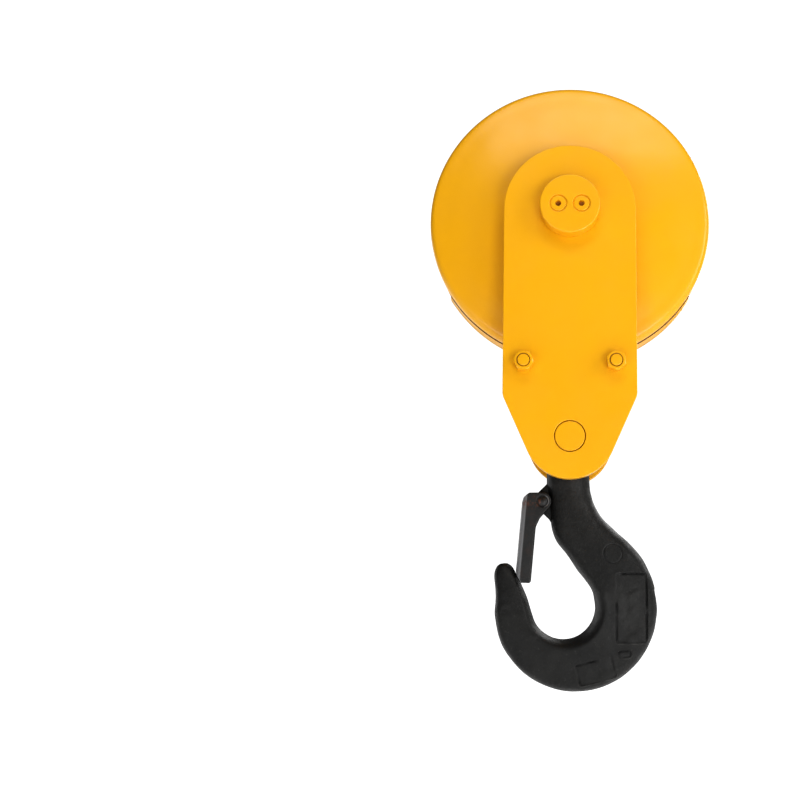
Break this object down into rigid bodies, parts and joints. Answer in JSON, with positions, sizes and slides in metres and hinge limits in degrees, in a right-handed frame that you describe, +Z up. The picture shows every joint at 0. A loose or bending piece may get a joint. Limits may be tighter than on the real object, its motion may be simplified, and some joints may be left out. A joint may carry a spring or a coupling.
{
  "type": "crane hook block",
  "caption": "Single-sheave crane hook block: covered rope sheave between tall side plates, with a swinging crosshead that carries a swivelling forged hook with a spring latch.",
  "frame": {"origin": "centre of the sheave, on the sheave axle's axis, midway between the side plates", "axes": "+Z up from the hook to the sheave; +Y along the sheave axle from the end cap to the round axle head; +X across the side plates, away from the hook's tip at rest"},
  "size_m": [0.2974, 0.145, 0.6414],
  "materials": {
    "yellow_paint": "orange-yellow enamel, satin gloss",
    "forged_black": "matt black over a slightly rough forging",
    "bearing_steel": "ground bearing steel",
    "plain_steel": "turned steel, oiled",
    "spring_steel": "dark spring steel",
    "key_steel": "bright yellow-passivated steel"
  },
  "bodies": {
    "frame": {"front_side_plate": "yellow_paint", "rear_side_plate": "yellow_paint", "sheave_axle": "yellow_paint", "axle_end_cap": "yellow_paint", "left_cap_screw": "yellow_paint", "right_cap_screw": "yellow_paint", "front_cover": "yellow_paint", "rear_cover": "yellow_paint", "upper_rope_guard": "yellow_paint", "lower_rope_guard": "yellow_paint", "front_cover_shim": "plain_steel", "rear_cover_shim": "plain_steel", "front_hub_spacer": "plain_steel", "rear_hub_spacer": "plain_steel", "bearing_spacer": "plain_steel", "front_bearing_inner_ring": "bearing_steel", "rear_bearing_inner_ring": "bearing_steel", "left_tie_rod": "yellow_paint", "right_tie_rod": "yellow_paint", "left_spacer_tube": "yellow_paint", "right_spacer_tube": "yellow_paint", "front_left_nut": "yellow_paint", "front_right_nut": "yellow_paint", "rear_left_nut": "yellow_paint", "rear_right_nut": "yellow_paint"},
    "sheave": {"sheave": "yellow_paint", "front_bearing_outer_ring": "bearing_steel", "rear_bearing_outer_ring": "bearing_steel", "front_bearing_circlip": "spring_steel", "rear_bearing_circlip": "spring_steel"},
    "bearing_cages": {"front_bearing_cage": "bearing_steel", "rear_bearing_cage": "bearing_steel"},
    "crosshead": {"crosshead": "yellow_paint", "thrust_bearing_lower_race": "bearing_steel"},
    "thrust_cage": {"thrust_bearing_cage": "bearing_steel"},
    "hook": {"hook": "forged_black", "thrust_bearing_upper_race": "bearing_steel", "hook_nut": "yellow_paint", "nut_lock_key": "key_steel", "latch_pin": "forged_black"},
    "latch": {"latch": "forged_black", "latch_spring": "spring_steel"}
  },
  "joints": [
    {"name": "sheave_spin", "type": "hinge", "parent": "frame", "child": "sheave", "pos_m": [0, 0, 0], "axis": [0, 1, 0], "continuous": true},
    {"name": "bearing_cage_spin", "type": "hinge", "parent": "frame", "child": "bearing_cages", "pos_m": [0, 0, 0], "axis": [0, 1, 0], "continuous": true},
    {"name": "crosshead_swing", "type": "hinge", "parent": "frame", "child": "crosshead", "pos_m": [0, 0, -0.234], "axis": [0, 1, 0], "range_deg": [-75, 75]},
    {"name": "hook_swivel", "type": "hinge", "parent": "crosshead", "child": "hook", "pos_m": [0, 0, -0.234], "axis": [0, 0, 1], "continuous": true},
    {"name": "thrust_cage_spin", "type": "hinge", "parent": "crosshead", "child": "thrust_cage", "pos_m": [0, 0, -0.234], "axis": [0, 0, 1], "continuous": true},
    {"name": "latch_hinge", "type": "hinge", "parent": "hook", "child": "latch", "pos_m": [-0.0283, 0, -0.2965], "axis": [0, -1, 0], "range_deg": [0, 34], "stiffness_Nm_per_rad": 0.3, "springref_deg": -45.84}
  ],
  "couplings": [
    {"joint": "bearing_cage_spin", "follows": "sheave_spin", "ratio": 0.585},
    {"joint": "thrust_cage_spin", "follows": "hook_swivel", "ratio": 0.5}
  ]
}
